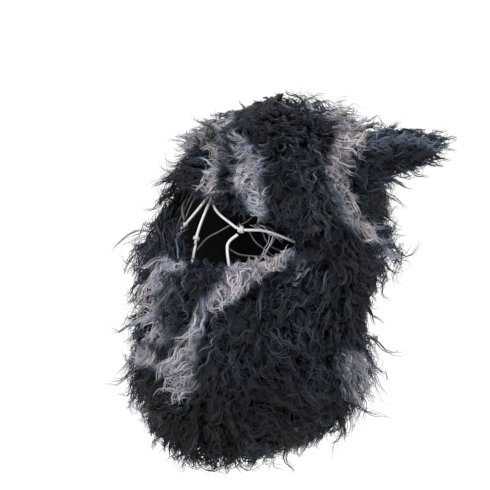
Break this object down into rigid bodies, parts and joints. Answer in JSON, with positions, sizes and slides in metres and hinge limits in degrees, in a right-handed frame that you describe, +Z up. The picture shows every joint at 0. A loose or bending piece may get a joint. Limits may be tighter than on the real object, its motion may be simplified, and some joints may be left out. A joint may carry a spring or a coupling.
{
  "type": "furry monster mask",
  "caption": "Full-head hood of long curly faux fur with floppy ears and a web of pale cord across its eye slot.",
  "frame": {"origin": "inside of the crown, where the top of the wearer's head touches the hood", "axes": "+Z up, the wearer looks along -Y, +X to the wearer's left"},
  "size_m": [0.2654, 0.2824, 0.3576],
  "materials": {
    "knit": "matte knitted backing",
    "pile": "long curly pile with a soft sheen",
    "cord": "smooth round cord with a soft gloss"
  },
  "bodies": {
    "root": {"hood_body": "knit", "hood_pile": "pile", "ear_left": "pile", "ear_right": "pile", "cord_brow_to_corner": "cord", "cord_knot_to_cheek": "cord", "cord_brow_to_far_cheek": "cord", "cord_brow_to_nose": "cord", "cord_far_corner": "cord", "cord_brow_line": "cord", "cord_brow_stay": "cord", "cord_curved_fall": "cord", "cord_arch": "cord", "cord_far_stay": "cord", "cord_far_fall": "cord", "cord_low_stay": "cord", "cord_corner_stay": "cord", "cord_cheek_line": "cord", "cheek_knot": "cord", "far_knot": "cord", "nose_knot": "cord"}
  },
  "joints": []
}
